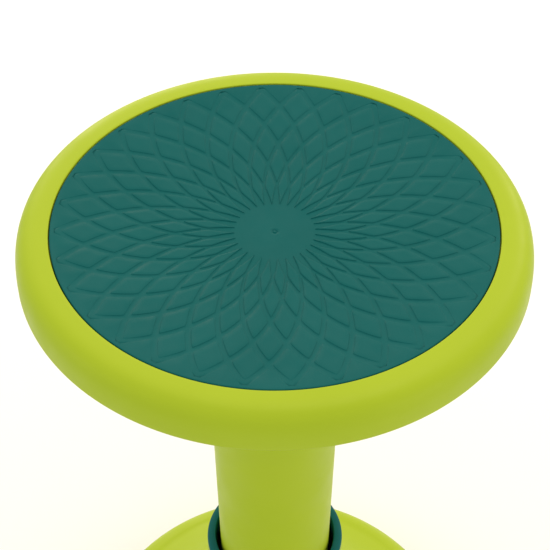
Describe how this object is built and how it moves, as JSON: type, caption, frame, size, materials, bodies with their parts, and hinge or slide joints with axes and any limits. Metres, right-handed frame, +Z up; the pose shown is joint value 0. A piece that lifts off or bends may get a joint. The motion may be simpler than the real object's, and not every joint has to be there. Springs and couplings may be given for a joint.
{
  "type": "wobble stool",
  "caption": "Round dished stool seat with a soft inset pad on a telescoping tapered column over a bell-shaped rocking base with a gas lift.",
  "frame": {"origin": "on the floor, at the centre of the rubber foot, with the seat fully raised", "axes": "+Z up along the column, +X towards the release lever"},
  "size_m": [0.356, 0.356, 0.61],
  "materials": {
    "lime_plastic": "satin moulded",
    "teal_rubber": "soft matt, lightly mottled",
    "dark_rubber": "matt",
    "zinc_steel": "zinc plated",
    "chrome": "ground and plated",
    "black_steel": "black powder coat",
    "cast_iron": "as cast",
    "nylon": "moulded",
    "black_plastic": "fine texture"
  },
  "bodies": {
    "base": {"stand_tube": "black_steel", "guide_bush": "nylon", "bearing_cage": "zinc_steel", "bearing_lower_washer": "zinc_steel", "base_hub": "cast_iron", "base_shell": "lime_plastic", "dust_collar": "teal_rubber", "base_pan": "lime_plastic", "ballast_ring": "cast_iron", "rubber_foot": "dark_rubber", "hub_bolt_1": "zinc_steel", "hub_bolt_2": "zinc_steel", "hub_bolt_3": "zinc_steel", "hub_bolt_4": "zinc_steel", "ballast_screw_1": "zinc_steel", "ballast_screw_2": "zinc_steel", "ballast_screw_3": "zinc_steel", "base_screw_1": "zinc_steel", "base_screw_2": "zinc_steel", "base_screw_3": "zinc_steel", "base_screw_4": "zinc_steel", "base_screw_5": "zinc_steel", "base_screw_6": "zinc_steel"},
    "rod": {"piston_rod": "chrome", "piston": "zinc_steel", "piston_ring": "dark_rubber", "bearing_upper_washer": "zinc_steel", "bump_stop": "dark_rubber", "retaining_clip": "zinc_steel"},
    "seat": {"seat_pad": "teal_rubber", "seat_shell": "lime_plastic", "seat_underside": "lime_plastic", "seat_plate": "zinc_steel", "column_sleeve": "lime_plastic", "lift_cylinder": "chrome", "valve_body": "zinc_steel", "rod_guide": "zinc_steel", "rod_seal": "dark_rubber", "lever_pivot_pin": "zinc_steel", "plate_bolt_1": "zinc_steel", "plate_bolt_2": "zinc_steel", "plate_bolt_3": "zinc_steel", "plate_bolt_4": "zinc_steel", "sleeve_screw_1": "zinc_steel", "sleeve_screw_2": "zinc_steel", "sleeve_screw_3": "zinc_steel", "sleeve_screw_4": "zinc_steel", "underside_screw_1": "zinc_steel", "underside_screw_2": "zinc_steel", "underside_screw_3": "zinc_steel", "underside_screw_4": "zinc_steel", "underside_screw_5": "zinc_steel", "underside_screw_6": "zinc_steel"},
    "lever": {"lever_arm": "black_steel", "lever_paddle": "black_plastic"},
    "pin": {"release_pin": "chrome"}
  },
  "joints": [
    {"name": "seat_swivel", "type": "hinge", "parent": "base", "child": "rod", "pos_m": [0, 0, 0.04], "axis": [0, 0, 1], "continuous": true},
    {"name": "height_slide", "type": "slide", "parent": "rod", "child": "seat", "axis": [0, 0, 1], "range_m": [-0.19, 0]},
    {"name": "lever_lift", "type": "hinge", "parent": "seat", "child": "lever", "pos_m": [0.024, 0, 0.577], "axis": [0, -1, 0], "range_deg": [0, 6], "stiffness_Nm_per_rad": 4},
    {"name": "pin_press", "type": "slide", "parent": "seat", "child": "pin", "axis": [0, 0, 1], "range_m": [-0.0026, 0]}
  ],
  "couplings": [
    {"joint": "pin_press", "follows": "lever_lift", "m_per_rad": -0.024}
  ]
}
